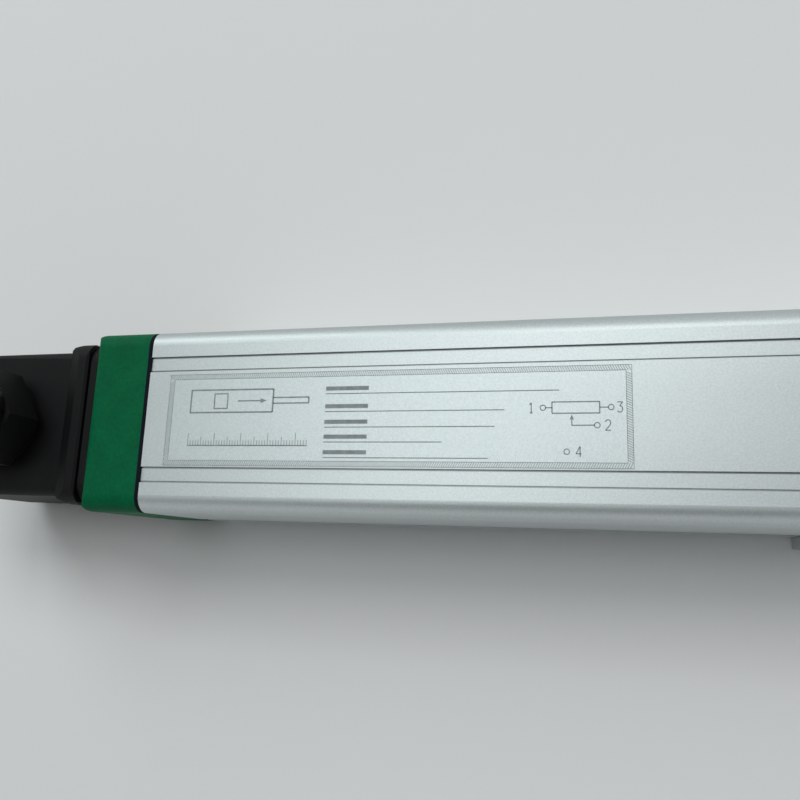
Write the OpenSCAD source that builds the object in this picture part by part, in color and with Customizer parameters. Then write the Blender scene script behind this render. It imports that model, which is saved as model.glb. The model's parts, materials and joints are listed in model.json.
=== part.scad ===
// Rod-type linear potentiometer in a square aluminium case.
// X runs along the rod, out of the case. Z is up. The origin is the middle of the case's underside.
// Lengths are in millimetres.

/* [Travel] */
// Mechanical travel of the rod
stroke = 455; // [355:50:905]
// Length of the carriage with its ball retainer
carriage_l = 26; // [24:1:40]
// Free space between the carriage and each end of the profile at the ends of travel
end_gap = 4; // [4:0.5:10]

/* [Case profile] */
// Width and height of the square profile
case_w = 33; // [32.5:0.5:36]
// Radius of the profile's long outer edges
case_corner_r = 3; // [1.5:0.25:4]
// Wall of the profile
wall_t = 2.5; // [2:0.1:2.8]
// Width of the centre panel on the top face
panel_w = 17.1; // [10:0.1:19]
// Width of the shallow band on each side of the centre panel
band_w = 2.725; // [1:0.025:3.5]
// Depth of the shallow bands
band_d = 0.3; // [0.1:0.05:0.6]
// Width of the fine line groove along each edge of the bands
line_w = 0.25; // [0.15:0.05:0.4]
// Depth of the line grooves below the bands
line_d = 0.2; // [0.1:0.05:0.3]
// Height of the clamp groove's middle above the underside
groove_z = 8.2; // [7.6:0.1:9]
// Height of the groove's mouth
mouth_h = 2.6; // [2:0.1:3]
// Depth of the groove's mouth
mouth_d = 1.2; // [1:0.1:1.6]
// Height of the groove behind its mouth
room_h = 4.2; // [3.6:0.1:4.4]
// Depth of the groove behind its mouth
room_d = 1.6; // [1.2:0.1:1.8]
// Wall left round the groove
groove_wall_t = 1.6; // [1.2:0.1:1.8]
// Thickness of the guide rib on each inner side wall
rib_h = 2; // [1.5:0.1:3]
// Height of the guide rib over its wall
rib_d = 1.4; // [0.8:0.1:2]
// Radius of the round screw ports in the upper corners
port_r = 3.1; // [2.4:0.1:3.4]
// Distance of each screw port's middle from the profile's faces
port_inset = 3.9; // [3.6:0.1:4.2]

/* [Resistance element] */
// Width of the board that carries the tracks
board_w = 20.6; // [18:0.1:21]
// Thickness of the board
board_t = 1.2; // [0.8:0.1:1.6]
// Height of the board's underside above the case's underside
board_z = 5; // [4.6:0.1:5.4]
// Play of the board in its slots
board_play = 0.1; // [0.05:0.01:0.2]
// Width of the lip over each edge of the board
lip_w = 0.8; // [0.5:0.1:1.5]
// Thickness of the lip
lip_t = 1; // [0.8:0.1:1.4]
// Width of the resistance track
track_w = 4.5; // [3:0.1:5]
// Thickness of the tracks on the board
track_t = 0.15; // [0.05:0.05:0.2]
// Distance of the resistance track and the collector from the middle
track_y = 4; // [3.5:0.1:4.5]

/* [End caps] */
// Length of the connector-end cap along the rod
rear_cap_l = 11; // [9.5:0.1:16]
// Length of the rod-end cap along the rod
front_cap_l = 12; // [11.5:0.5:18]
// Rounding of the caps' outer edges
cap_edge_r = 1.3; // [0.6:0.1:2]
// Thickness of the gaskets between the caps and the profile
gasket_t = 0.78; // [0.5:0.02:1.5]
// Radius of the nose round the rod
nose_r = 9.5; // [8.5:0.5:11]
// Length of the nose
nose_l = 3; // [2:0.5:6]
// Thread radius of the screws that hold the caps
cap_screw_r = 1.5; // [1.25:0.05:1.6]
// Length of those screws under the head
cap_screw_l = 20; // [16:1:30]
// Head radius of those screws
cap_head_r = 2.75; // [2.5:0.05:2.8]
// Head height of those screws
cap_head_h = 3; // [2:0.1:3.5]

/* [Rod] */
// Radius of the rod
rod_r = 3; // [2.5:0.1:3.2]
// Length of rod in front of the nose with the rod pushed in
rod_free = 32; // [28:1:60]
// Length of the thread at the rod's end
thread_l = 20; // [16:1:24]
// Depth of the undercut behind the thread
undercut_d = 0.6; // [0.5:0.05:0.8]
// Chamfer at the rod's tip
tip_chamfer = 0.7; // [0.3:0.1:1.2]
// Width of the lock nut across its flats
nut_af = 10; // [9:0.5:13]
// Height of the lock nut
nut_h = 5; // [3:0.5:6]
// Radial clearance of the rod in its bushing
rod_fit = 0.05; // [0.02:0.01:0.08]
// Radius of the ball on the rod's inner end
ball_r = 4.5; // [4:0.1:4.8]
// Clearance of the ball in its socket
ball_fit = 0.08; // [0.05:0.01:0.1]
// Sliding clearance of the carriage on the guide ribs
slide_fit = 0.1; // [0.05:0.01:0.2]

/* [Bushing and scraper] */
// Outer radius of the bushing
bush_r = 5.5; // [4.5:0.1:6]
// Length of the bushing
bush_l = 9; // [7:0.5:9]
// Radius of the bushing's flange
bush_flange_r = 8; // [7:0.1:8.5]
// Thickness of the bushing's flange
bush_flange_t = 1.5; // [1:0.1:2]
// Outer radius of the scraper ring
scraper_r = 6; // [5:0.1:7]
// Width of the scraper ring along the rod
scraper_t = 3.5; // [2.5:0.1:4]
// Thickness of the ring that holds the scraper
retainer_t = 0.8; // [0.5:0.1:1]

/* [Connector base] */
// Width of the square flange of the connector base
flange_w = 29.5; // [27:0.5:30]
// Thickness of the flange
flange_t = 1.8; // [1.2:0.1:2.5]
// Corner radius of the flange
flange_corner_r = 3.5; // [2.5:0.5:7]
// Thickness of the gasket under the flange
base_gasket_t = 0.3; // [0.2:0.02:1]
// Radius of the part of the base that is sunk in the cap
base_back_r = 10.6; // [10.4:0.1:10.8]
// Depth of that part
base_back_l = 5.6; // [4.5:0.1:6]
// Radius of the threaded post in the middle
post_r = 3.6; // [3:0.1:4.5]
// Height of the threaded post
post_l = 3; // [2:0.5:5]
// Distance of each blade from the middle
blade_off = 9; // [8.6:0.1:9.2]
// Width of a blade
blade_w = 6.3; // [5:0.1:6.5]
// Thickness of a blade
blade_t = 0.8; // [0.6:0.1:1]
// Length of a blade in front of the flange
blade_l = 10.5; // [8:0.5:11]
// Length of the solder tails behind the base
tail_l = 2.2; // [1.5:0.1:2.4]
// Pitch of the screws in the flange
base_screw_pitch = 18.4; // [18:0.1:18.6]
// Thread radius of the screws in the flange
base_screw_r = 1.25; // [1:0.05:1.3]

/* [Connector plug] */
// Thickness of the flat gasket between base and plug
plug_gasket_t = 0.5; // [0.4:0.1:1.5]
// Width of the square rim at the plug's mating face
rim_w = 30.4; // [29:0.2:31]
// Corner radius of the rim
rim_corner_r = 3.2; // [2:0.2:4]
// Length of the rim's straight part
rim_l = 2; // [1.5:0.05:3]
// Length of the slope from the rim to the plug's body
rim_slope_l = 2.6; // [1:0.1:4]
// Width of the plug's body behind the rim
plug_w = 27.6; // [26.8:0.1:28.4]
// Width of the plug's body at its far end
plug_end_w = 27; // [26:0.1:27.4]
// Corner radius of the plug's body
plug_corner_r = 1.8; // [1.2:0.1:2.8]
// Length of the plug from its mating face
plug_l = 33.5; // [33:0.5:40]
// Rounding of the edges at the plug's far end
plug_edge_r = 1.6; // [0.8:0.1:2]
// Width of the square room inside the plug
plug_room_w = 22; // [22:0.1:22.4]
// Wall at the plug's far end
plug_end_t = 5; // [4.5:0.1:6]
// Length of the contact insert
insert_l = 12.5; // [12:0.5:13]
// Clearance of the insert in the plug
insert_fit = 0.1; // [0.05:0.01:0.15]
// Radius of the plug's central screw
plug_screw_r = 1.5; // [1.25:0.05:1.6]

/* [Cable gland] */
// Distance of the gland's axis from the plug's mating face
gland_off = 18.4; // [18:0.1:20]
// Radius of the neck that carries the gland
neck_r = 8; // [7.8:0.1:9]
// Height of the neck's shoulder above the plug's axis
shoulder_h = 15.2; // [14.6:0.1:16]
// Radius of the gland's thread
gland_thread_r = 7.5; // [7.3:0.05:7.6]
// Length of the gland's thread
gland_thread_l = 6.8; // [6:0.1:9]
// Radius of the bore in the neck
gland_bore_r = 6; // [5.6:0.1:6.1]
// Radius of the seal's bore for the cable
cable_r = 3.5; // [2.5:0.1:4]
// Height of the gland seal
seal_h = 7.2; // [6.8:0.1:8]
// Width of the gland nut across its flats
gland_af = 17; // [16.6:0.1:19]
// Height of the gland nut's six-sided part
gland_hex_h = 7.4; // [6.4:0.1:9]
// Height of the gland nut
gland_nut_h = 11; // [10.2:0.1:14]

/* [Clamps] */
// Length of a clamp along the case
clamp_l = 36; // [30:1:50]
// Distance from the profile's end to the nearest clamp
clamp_inset = 111.5; // [20:0.5:115]
// Distance of a clamp's screw hole from the side of the case
clamp_hole_off = 4.75; // [4.25:0.25:8]
// Radius of a clamp's screw hole
clamp_hole_r = 2.65; // [2:0.05:3]
// Radius of the clamp's round end
clamp_end_r = 6.25; // [5.5:0.25:8]
// Thickness of the clamp's foot
clamp_t = 3.5; // [2.5:0.1:4]
// Thickness of the clamp's wall beside the case
clamp_wall_t = 2; // [1.5:0.1:2]
// Gap under the clamp, so that its screw pulls the case down
clamp_lift = 0.2; // [0.1:0.1:0.5]
// Clearance of the clamp's hook in the groove
hook_fit = 0.1; // [0.05:0.01:0.2]

/* [Hidden] */
$fn = 64;
eps = 0.01;

// Places along the rod.
profile_l = stroke + carriage_l + 2 * end_gap;
rear_x = -profile_l / 2;
front_x = profile_l / 2;
rear_cap_x = rear_x - gasket_t;
rear_face_x = rear_cap_x - rear_cap_l;
front_cap_x = front_x + gasket_t;
nose_x = front_cap_x + front_cap_l;
nose_tip_x = nose_x + nose_l;
carriage_x = rear_x + end_gap;
tip_x = nose_tip_x + rod_free;
flange_x = rear_face_x - base_gasket_t;
base_face_x = flange_x - flange_t;
mate_x = base_face_x - plug_gasket_t;
plug_end_x = mate_x - plug_l;
gland_x = mate_x - gland_off;

// Sizes across the case.
port_pitch = case_w - 2 * port_inset;
clamp_pitch = case_w + 2 * clamp_hole_off;

// Heights above the case's underside.
axis_z = case_w / 2;
board_top_z = board_z + board_t;
lip_z = board_top_z + board_play;
shelf_z = groove_z + room_h / 2 + groove_wall_t;
track_z = board_top_z + track_t;

// The carriage and what it carries.
carriage_half_w = case_w / 2 - wall_t - 2 * slide_fit;
shoe_gap = 0.4;
shoe_rise = 4.2;
shoe_low_z = shelf_z + shoe_gap;
shoe_high_z = axis_z + shoe_rise;
shoe_wing_w = 5.3;
block_half_w = carriage_half_w - shoe_wing_w;
shoe_slot_w = 2.2;
shoe_slot_off = 1.9;
block_rise = 7.5;
block_top_z = axis_z + block_rise;
ball_plate_t = 2;
ball_plate_w = 16;
ball_plate_h = 12;
socket_r = ball_r + ball_fit;
ball_x = carriage_x + carriage_l - ball_plate_t - socket_r;
rod_seat = 2.4;
rod_spigot_r = 2;
rod_spigot_back = 3.5;
wiper_plate_t = 0.8;
wiper_plate_l = 14;
wiper_plate_w = 15;
wiper_room = 1;
wiper_plate_z = track_z + wiper_room;
block_low_z = wiper_plate_z + wiper_plate_t;
finger_w = 0.7;
finger_pitch = 1.1;
finger_count = 3;
finger_t = 0.15;
finger_root = 3;
finger_reach = 5;
finger_foot = 1;
wiper_lift = 0.04;

// The rod where it passes other parts, and its thread. The thread and its nut meet at the thread's
// middle radius.
rod_pass = 0.3;
ring_pass = 0.5;
undercut_l = 2;
thread_x = tip_x - thread_l;
thread_half_d = 0.325;
thread_mid_r = rod_r - thread_half_d;
nut_gap = 0.5;
nut_x = thread_x + nut_gap;
nut_end_x = nut_x + nut_h;
nut_sink = 0.3;
nut_sink_r = rod_r + nut_sink;

// Screws and the holes that take them.
screw_clear = 0.2;
socket_af_share = 0.95;
socket_depth = 1.5;
cap_head_sink = 0.2;
counterbore_r = cap_head_r + screw_clear;
counterbore_d = cap_head_h + cap_head_sink;
base_screw_l = 7;
base_head_r = 2.2;
base_head_h = 1.1;

// The wire room in the rear cap and the parts near it.
cap_side_t = 6;
cap_top_t = 7;
wire_room_w = case_w - 2 * cap_side_t;
wire_room_top_z = case_w - cap_top_t;
wire_room_l = rear_cap_l - base_gasket_t - base_back_l;
lug_w = 2.6;
lug_l = 3;
lug_t = 0.4;
lug_y = [-track_y, track_y, track_y + 4.2];
wire_r = 0.6;

// The plug's inside and its screw.
insert_w = plug_room_w - 2 * insert_fit;
insert_back_gap = 0.2;
insert_front_x = mate_x + plug_gasket_t - insert_back_gap;
insert_back_x = mate_x - insert_l;
contact_spare = 0.9;
contact_w = blade_w + contact_spare;
contact_t = 2.8;
blade_gap = 0.1;
terminal_l = 4.5;
terminal_w = 5.6;
terminal_screw_r = 1.25;
terminal_head_r = 1.35;
terminal_head_l = 1.2;
pillar_r = 3.6;
plug_head_r = 2.75;
plug_head_h = 2;
plug_seal_t = 0.6;
plug_recess_r = 3.3;
plug_recess_d = plug_head_h + plug_seal_t;

// The gland, as heights above the plug's axis.
seal_gap = 0.2;
nut_gap_h = 0.5;
seal_low_h = shoulder_h + seal_gap;
washer_h = seal_low_h + seal_h;
washer_t = 0.8;
nut_low_h = shoulder_h + nut_gap_h;
nut_top_h = nut_low_h + gland_nut_h;

// Unit directions from the case's axis to its four corners.
corners = [[1, 1], [-1, 1], [-1, -1], [1, -1]];

module rounded_rect(w, h, r) {
    square([w - 2 * r, h], center = true);
    square([w, h - 2 * r], center = true);
    for (c = corners)
        translate([c[0] * (w / 2 - r), c[1] * (h / 2 - r)]) circle(r);
}

// Extrudes a drawing along X. The drawing's own axes become Y and Z about the rod's axis.
module along_x(x, l) {
    translate([x, 0, axis_z]) rotate([90, 0, 90]) linear_extrude(l) children();
}

// A round bar on the rod's axis, or beside it.
module bar_x(x, r, l, y = 0, z = 0) {
    translate([x, y, axis_z + z]) rotate([0, 90, 0]) cylinder(r = r, h = l);
}

// A cone on the rod's axis, or beside it.
module cone_x(x, r_start, r_end, l, y = 0, z = 0) {
    translate([x, y, axis_z + z]) rotate([0, 90, 0]) cylinder(r1 = r_start, r2 = r_end, h = l);
}

module corner_bars(x, r, l, pitch) {
    for (c = corners) bar_x(x, r, l, c[0] * pitch / 2, c[1] * pitch / 2);
}

// A rectangle given by its half width and its two heights above the underside.
module level(half_w, low_z, high_z) {
    translate([-half_w, low_z - axis_z]) square([2 * half_w, high_z - low_z]);
}

// Case

module cavity_section() {
    difference() {
        union() {
            level(case_w / 2 - wall_t, shelf_z, case_w - wall_t);
            level(case_w / 2 - mouth_d - room_d - groove_wall_t, lip_z + lip_t, shelf_z + eps);
            level(board_w / 2 - lip_w, wall_t, shelf_z);
            level(board_w / 2 + board_play, board_z, lip_z);
        }
        for (s = [-1, 1]) translate([s, 1] * port_pitch / 2) circle(port_r);
        for (s = [-1, 1])
            translate([s * (case_w / 2 - wall_t), 0]) square([2 * rib_d, rib_h], center = true);
    }
}

module groove_section() {
    translate([case_w / 2 - mouth_d, groove_z - axis_z - mouth_h / 2])
        square([mouth_d + eps, mouth_h]);
    translate([case_w / 2 - mouth_d - room_d, groove_z - axis_z - room_h / 2])
        square([room_d, room_h]);
}

module case_profile() {
    color("silver") along_x(rear_x, profile_l) difference() {
        rounded_rect(case_w, case_w, case_corner_r);
        cavity_section();
        for (c = corners) translate(c * port_pitch / 2) circle(cap_screw_r);
        for (s = [-1, 1]) {
            scale([s, 1]) groove_section();
            translate([s * (panel_w + band_w) / 2, case_w / 2 - band_d]) {
                translate([-band_w / 2, 0]) square([band_w, band_d + eps]);
                for (e = [-1, 1])
                    translate([e * (band_w - line_w) / 2 - line_w / 2, -line_d])
                        square([line_w, line_d + band_d + eps]);
            }
        }
    }
}

module end_gasket(x) {
    color("midnightblue") along_x(x, gasket_t) difference() {
        rounded_rect(case_w, case_w, case_corner_r);
        level(wire_room_w / 2, board_z - board_play, wire_room_top_z);
        for (c = corners) translate(c * port_pitch / 2) circle(cap_screw_r + screw_clear);
    }
}

module rear_gasket() end_gasket(rear_cap_x);

module front_gasket() end_gasket(front_x);

// Side view of a cap from x = 0 to l, with both outer edges rounded.
module cap_outline(l) {
    translate([0, -case_w / 2]) square([l - cap_edge_r, case_w]);
    translate([0, cap_edge_r - case_w / 2]) square([l, case_w - 2 * cap_edge_r]);
    for (s = [-1, 1])
        translate([l - cap_edge_r, s * (case_w / 2 - cap_edge_r)]) circle(cap_edge_r);
}

// A cap's block with its inner face at x, growing towards +X.
module cap_block(x, l) {
    intersection() {
        along_x(x, l) rounded_rect(case_w, case_w, case_corner_r);
        translate([x, 0, 0]) linear_extrude(case_w) cap_outline(l);
        translate([x, case_w / 2, axis_z]) rotate([90, 0, 0]) linear_extrude(case_w) cap_outline(l);
    }
}

module rear_cap() {
    color("seagreen") difference() {
        mirror([1, 0, 0]) cap_block(-rear_cap_x, rear_cap_l);
        bar_x(rear_face_x - eps, base_back_r + insert_fit, rear_cap_l + 2 * eps);
        along_x(rear_cap_x - wire_room_l, wire_room_l + eps)
            level(wire_room_w / 2, board_z - board_play, wire_room_top_z);
        corner_bars(rear_face_x - eps, cap_screw_r + screw_clear, rear_cap_l + 2 * eps, port_pitch);
        corner_bars(rear_face_x - eps, counterbore_r, counterbore_d + eps, port_pitch);
        corner_bars(rear_face_x - eps, base_screw_r, base_screw_l, base_screw_pitch);
    }
}

// A socket-head screw along +X with its head's top at x.
module cap_screw(x, y, z) {
    difference() {
        union() {
            bar_x(x, cap_head_r, cap_head_h, y, z);
            bar_x(x + cap_head_h - eps, cap_screw_r, cap_screw_l + eps, y, z);
        }
        translate([x - eps, y, axis_z + z]) rotate([0, 90, 0])
            cylinder(r = cap_screw_r * socket_af_share, h = socket_depth + eps, $fn = 6);
    }
}

module rear_cap_screws() {
    color("dimgray") for (c = corners)
        cap_screw(rear_face_x + cap_head_sink, c[0] * port_pitch / 2, c[1] * port_pitch / 2);
}

module front_cap_screws() {
    color("dimgray") mirror([1, 0, 0]) for (c = corners)
        cap_screw(cap_head_sink - nose_x, c[0] * port_pitch / 2, c[1] * port_pitch / 2);
}

module front_cap() {
    color("seagreen") difference() {
        union() {
            cap_block(front_cap_x, front_cap_l);
            bar_x(nose_x - eps, nose_r, nose_l - cap_edge_r / 2 + eps);
            cone_x(nose_tip_x - cap_edge_r / 2, nose_r, nose_r - cap_edge_r / 2, cap_edge_r / 2);
        }
        bar_x(front_cap_x - eps, bush_flange_r, bush_flange_t + eps);
        bar_x(front_cap_x, bush_r, bush_l);
        bar_x(front_cap_x, rod_r + rod_pass, front_cap_l + nose_l);
        bar_x(nose_tip_x - scraper_t - retainer_t, scraper_r, scraper_t + retainer_t + eps);
        corner_bars(front_cap_x - eps, cap_screw_r + screw_clear, front_cap_l + 2 * eps, port_pitch);
        corner_bars(nose_x - counterbore_d, counterbore_r, counterbore_d + eps, port_pitch);
    }
}

module rod_bushing() {
    color("goldenrod") difference() {
        union() {
            bar_x(front_cap_x, bush_flange_r, bush_flange_t);
            bar_x(front_cap_x, bush_r, bush_l);
        }
        bar_x(front_cap_x - eps, rod_r + rod_fit, bush_l + 2 * eps);
    }
}

module rod_scraper() {
    color("black") difference() {
        bar_x(nose_tip_x - scraper_t - retainer_t, scraper_r, scraper_t);
        bar_x(nose_tip_x - scraper_t - retainer_t - eps, rod_r + rod_fit, scraper_t + 2 * eps);
    }
}

module scraper_retainer() {
    color("lightgray") difference() {
        bar_x(nose_tip_x - retainer_t, scraper_r, retainer_t);
        bar_x(nose_tip_x - retainer_t - eps, rod_r + ring_pass, retainer_t + 2 * eps);
    }
}

// Resistance element and wiring

module strip(x, l, y, w, z, t) {
    translate([x, y - w / 2, z]) cube([l, w, t]);
}

module element_board() {
    color("darkgreen") strip(rear_x, profile_l, 0, board_w, board_z, board_t);
}

module resistance_track() {
    color("black") strip(rear_x + lug_l, profile_l - 2 * lug_l, -track_y, track_w, board_top_z, track_t);
}

module conductor_tracks() {
    color("gold") {
        strip(rear_x + lug_l, profile_l - 2 * lug_l, track_y, track_w, board_top_z, track_t);
        strip(rear_x + lug_l, profile_l - 2 * lug_l, lug_y[2], track_w / 5, board_top_z, track_t);
        strip(front_x - lug_l, lug_l / 2, (lug_y[2] - track_y) / 2, lug_y[2] + track_y + track_w / 5,
            board_top_z, track_t);
    }
}

module board_terminals() {
    color("silver") for (y = lug_y) strip(rear_x, lug_l, y, lug_w * 0.9, board_top_z, lug_t);
}

function unit(v) = v / norm(v);

// Direction of a path at its point i: the mean of the stretches that meet there.
function heading(points, i) =
    unit((i > 0 ? unit(points[i] - points[i - 1]) : [0, 0, 0])
        + (i < len(points) - 1 ? unit(points[i + 1] - points[i]) : [0, 0, 0]));

// An eight-sided wire swept through the given points.
module wire(points) {
    sides = 8;
    last = len(points) - 1;
    rings = [for (i = [0 : last]) let (d = heading(points, i), u = unit(cross(d, [-1, 1, 0.9])))
        for (k = [0 : sides - 1]) let (a = 360 * k / sides)
            points[i] + wire_r * (cos(a) * u + sin(a) * cross(d, u))];
    polyhedron(rings, concat([[for (k = [sides - 1 : -1 : 0]) k]],
        [for (i = [0 : last - 1], k = [0 : sides - 1]) let (n = (k + 1) % sides)
            [i * sides + k, i * sides + n, (i + 1) * sides + n, (i + 1) * sides + k]],
        [[for (k = [0 : sides - 1]) last * sides + k]]));
}

module lead_wires() {
    bend_x = rear_cap_x - wire_r - 0.5;
    lug_top_z = board_top_z + lug_t + wire_r;
    color("firebrick") for (i = [0 : 2]) {
        tail_y = [-blade_off, 0, blade_off][i];
        tail_z = [axis_z, axis_z - blade_off, axis_z][i];
        wire([[rear_cap_x - wire_room_l + tail_l + wire_r, tail_y, tail_z],
            [bend_x, tail_y, tail_z], [bend_x, lug_y[i], lug_top_z + 1.2],
            [rear_x + lug_l / 2, lug_y[i], lug_top_z]]);
    }
}

// Carriage

module carriage() {
    l = carriage_l - ball_plate_t;
    color("ivory") difference() {
        along_x(carriage_x, l) difference() {
            union() {
                level(carriage_half_w, shoe_low_z, shoe_high_z);
                level(block_half_w, block_low_z, block_top_z);
            }
            for (s = [-1, 1])
                translate([s * (case_w / 2 - wall_t), 0])
                    square([2 * (rib_d + slide_fit), rib_h + 2 * slide_fit], center = true);
        }
        bar_x(ball_x - socket_r, socket_r, 2 * socket_r + eps);
        for (s = [-1, 1])
            translate([carriage_x + l / 4, s * (block_half_w + shoe_slot_off) - shoe_slot_w / 2,
                shoe_low_z - eps])
                cube([l / 2, shoe_slot_w, shoe_high_z - shoe_low_z + 2 * eps]);
    }
}

module ball_retainer() {
    color("gray") along_x(carriage_x + carriage_l - ball_plate_t, ball_plate_t) difference() {
        rounded_rect(ball_plate_w, ball_plate_h, 2);
        circle(rod_r + rod_pass);
    }
}

module wiper_carrier() {
    color("sienna")
        strip(carriage_x + (carriage_l - ball_plate_t - wiper_plate_l) / 2, wiper_plate_l, 0,
            wiper_plate_w, wiper_plate_z, wiper_plate_t);
}

// Side view of one bent spring finger: flat at its root, then down to the track.
module finger_outline() {
    drop = wiper_room - wiper_lift - finger_t;
    knee = finger_root + finger_reach;
    foot = knee + finger_foot;
    polygon([[0, 0], [0, -finger_t], [finger_root, -finger_t], [knee, -finger_t - drop],
        [foot, -finger_t - drop], [foot + finger_foot, -drop + finger_t], [foot, -drop],
        [knee, -drop], [finger_root, 0]]);
}

module wiper_contacts() {
    x = carriage_x + (carriage_l - ball_plate_t - wiper_plate_l) / 2 + 2;
    color("gold") for (side = [-track_y, track_y]) {
        for (i = [0 : finger_count - 1])
            translate([x, side + (i - (finger_count - 1) / 2) * finger_pitch + finger_w / 2,
                wiper_plate_z])
                rotate([90, 0, 0]) linear_extrude(finger_w) finger_outline();
        strip(x, 1.5, side, finger_pitch * (finger_count - 1) + finger_w,
            wiper_plate_z - finger_t, finger_t);
    }
}

// Rod

module rod() {
    color("gainsboro") {
        bar_x(ball_x - rod_spigot_back, rod_spigot_r, rod_spigot_back + rod_seat + eps);
        bar_x(ball_x + rod_seat, rod_r, thread_x - undercut_l - ball_x - rod_seat);
        bar_x(thread_x - undercut_l - eps, rod_r - undercut_d, undercut_l + 2 * eps);
        bar_x(thread_x, thread_mid_r, nut_end_x - thread_x + eps);
        bar_x(nut_end_x, rod_r, tip_x - tip_chamfer - nut_end_x);
        cone_x(tip_x - tip_chamfer, rod_r, rod_r - tip_chamfer, tip_chamfer);
    }
}

module rod_ball() {
    color("slategray") difference() {
        translate([ball_x, 0, axis_z]) rotate([0, 90, 0]) rotate_extrude() intersection() {
            circle(ball_r);
            translate([0, -ball_r]) square([ball_r, 2 * ball_r]);
        }
        bar_x(ball_x - rod_spigot_back, rod_spigot_r, rod_spigot_back + rod_seat);
        bar_x(ball_x + rod_seat, rod_r, ball_r);
    }
}

module rod_lock_nut() {
    sink = nut_sink_r - thread_mid_r;
    color("darkgray") difference() {
        intersection() {
            translate([nut_x, 0, axis_z]) rotate([0, 90, 0])
                cylinder(r = nut_af / 2 / cos(30), h = nut_h, $fn = 6);
            union() {
                cone_x(nut_x, nut_af / 2, nut_af / 2 + nut_h, nut_h / 2);
                cone_x(nut_x + nut_h / 2, nut_af / 2 + nut_h, nut_af / 2, nut_h / 2);
            }
        }
        bar_x(nut_x - eps, thread_mid_r, nut_h + 2 * eps);
        cone_x(nut_x - eps, nut_sink_r, thread_mid_r, sink);
        cone_x(nut_end_x + eps - sink, thread_mid_r, nut_sink_r, sink);
    }
}

// Connector base on the rear cap

module flange_section(w) {
    rounded_rect(w, w, flange_corner_r);
}

module base_screw_holes(r) {
    for (c = corners) translate(c * base_screw_pitch / 2) circle(r);
}

module base_gasket() {
    color("black") along_x(flange_x, base_gasket_t) difference() {
        flange_section(flange_w);
        circle(base_back_r + insert_fit);
        base_screw_holes(base_screw_r + insert_fit);
    }
}

// The four places of the contacts: two beside the middle and two over and under it.
module at_contacts() {
    for (a = [0 : 90 : 270]) rotate(a) translate([blade_off, 0]) children();
}

module connector_base() {
    color([0.1, 0.1, 0.11]) difference() {
        union() {
            along_x(base_face_x, flange_t) flange_section(flange_w);
            bar_x(flange_x - eps, base_back_r, base_back_l + eps);
            bar_x(base_face_x - post_l, post_r, post_l + eps);
        }
        along_x(base_face_x - eps, flange_t + base_back_l + 2 * eps)
            at_contacts() square([blade_t, blade_w], center = true);
        bar_x(base_face_x - post_l - eps, plug_screw_r, post_l + flange_t + base_back_l - 1);
        corner_bars(base_face_x - eps, base_screw_r + insert_fit, flange_t + 2 * eps, base_screw_pitch);
        for (c = corners)
            cone_x(base_face_x - eps, base_head_r + 2 * eps, base_screw_r + 2 * eps, base_head_h + eps,
                c[0] * base_screw_pitch / 2, c[1] * base_screw_pitch / 2);
    }
}

module connector_blades() {
    tail_w = 2.4;
    color("gold") {
        along_x(base_face_x - blade_l, blade_l + flange_t + base_back_l)
            at_contacts() square([blade_t, blade_w], center = true);
        along_x(flange_x + base_back_l - eps, tail_l + eps)
            at_contacts() square([blade_t, tail_w], center = true);
    }
}

module base_screws() {
    color("dimgray") for (c = corners) {
        y = c[0] * base_screw_pitch / 2;
        z = c[1] * base_screw_pitch / 2;
        cone_x(base_face_x, base_head_r, base_screw_r, base_head_h, y, z);
        bar_x(base_face_x, base_screw_r, base_screw_l, y, z);
    }
}

// Connector plug

module plug_gasket() {
    color("black") along_x(mate_x, plug_gasket_t) difference() {
        rounded_rect(plug_w, plug_w, plug_corner_r);
        square(plug_room_w, center = true);
    }
}

function arc(cx, cy, r, from, to, steps) =
    [for (i = [0 : steps]) let (a = from + (to - from) * i / steps) [cx + r * cos(a), cy + r * sin(a)]];

// Side view of the plug: x runs from its mating face at 0 to its far end at plug_l.
module plug_outline() {
    edge = 0.4;
    upper = concat([[0, rim_w / 2 - edge], [edge, rim_w / 2], [rim_l, rim_w / 2],
        [rim_l + rim_slope_l, plug_w / 2]],
        arc(plug_l - plug_edge_r, plug_end_w / 2 - plug_edge_r, plug_edge_r, 88, 0, 6));
    polygon(concat(upper, [for (i = [len(upper) - 1 : -1 : 0]) [upper[i][0], -upper[i][1]]]));
}

// What a square drawing of the given width and corner radius gives when cut to the side views.
module plug_body(w, r, l) {
    intersection() {
        along_x(mate_x - l, l) rounded_rect(w, w, r);
        translate([mate_x, 0, axis_z - rim_w / 2]) mirror([1, 0, 0])
            linear_extrude(rim_w) plug_outline();
        translate([mate_x, rim_w / 2, axis_z]) mirror([1, 0, 0]) rotate([90, 0, 0])
            linear_extrude(rim_w) plug_outline();
    }
}

module bar_z(r, low_h, high_h) {
    translate([gland_x, 0, axis_z + low_h]) cylinder(r = r, h = high_h - low_h);
}

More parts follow.
